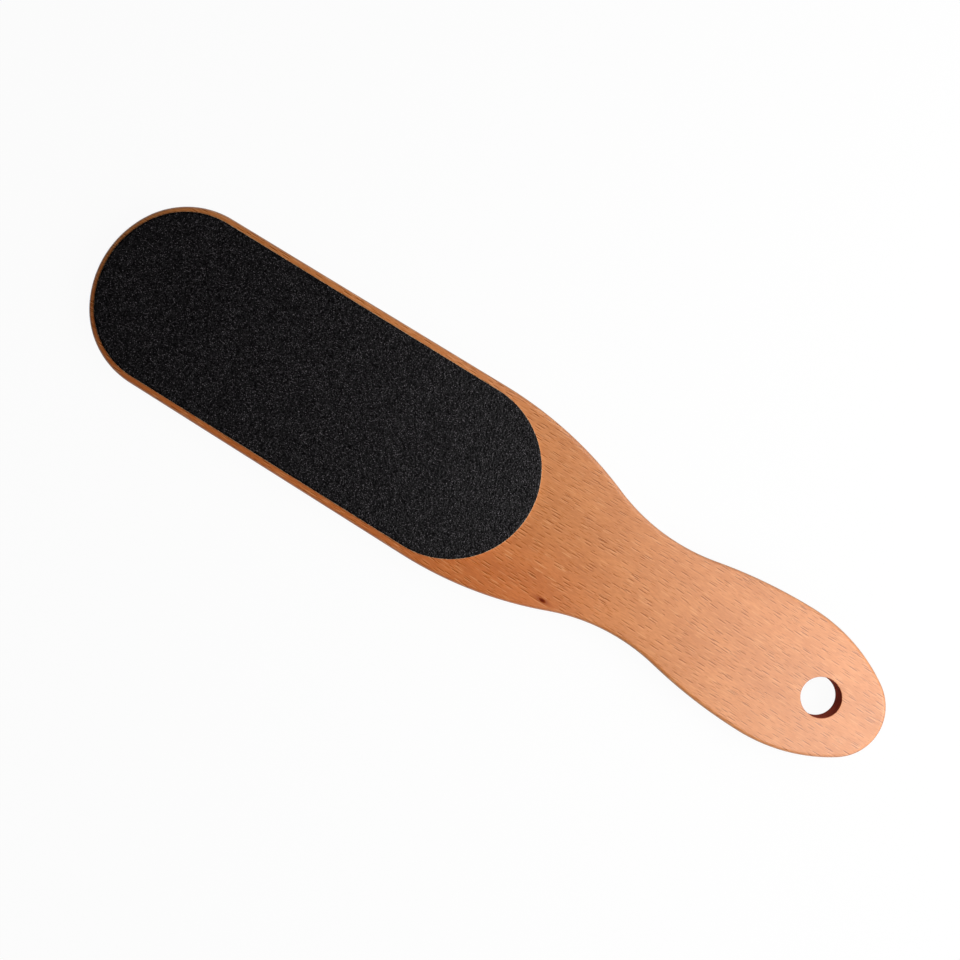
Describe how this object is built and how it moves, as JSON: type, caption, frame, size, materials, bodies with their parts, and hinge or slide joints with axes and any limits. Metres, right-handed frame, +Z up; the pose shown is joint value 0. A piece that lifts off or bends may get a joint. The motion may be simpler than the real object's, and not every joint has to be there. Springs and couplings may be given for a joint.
{
  "type": "foot file",
  "caption": "Flat wooden paddle file with an abrasive sheet glued to each face of its blade, a waisted grip and a hole for hanging.",
  "frame": {"origin": "under the middle of the paddle's length and width, on the rear sheet's grit face that it lies on", "axes": "+X along the paddle from the head towards the butt with the hanging hole, +Y across it, +Z up through its thickness to the front sheet"},
  "size_m": [0.27, 0.059, 0.0095],
  "materials": {
    "beech_wood": "satin",
    "adhesive_film": "satin",
    "backing_paper": "matte",
    "coarse_grit": "matte",
    "fine_grit": "matte"
  },
  "bodies": {
    "root": {"paddle": "beech_wood", "front_adhesive_film": "adhesive_film", "front_backing_paper": "backing_paper", "front_grit_coat": "coarse_grit", "rear_adhesive_film": "adhesive_film", "rear_backing_paper": "backing_paper", "rear_grit_coat": "fine_grit"}
  },
  "joints": []
}
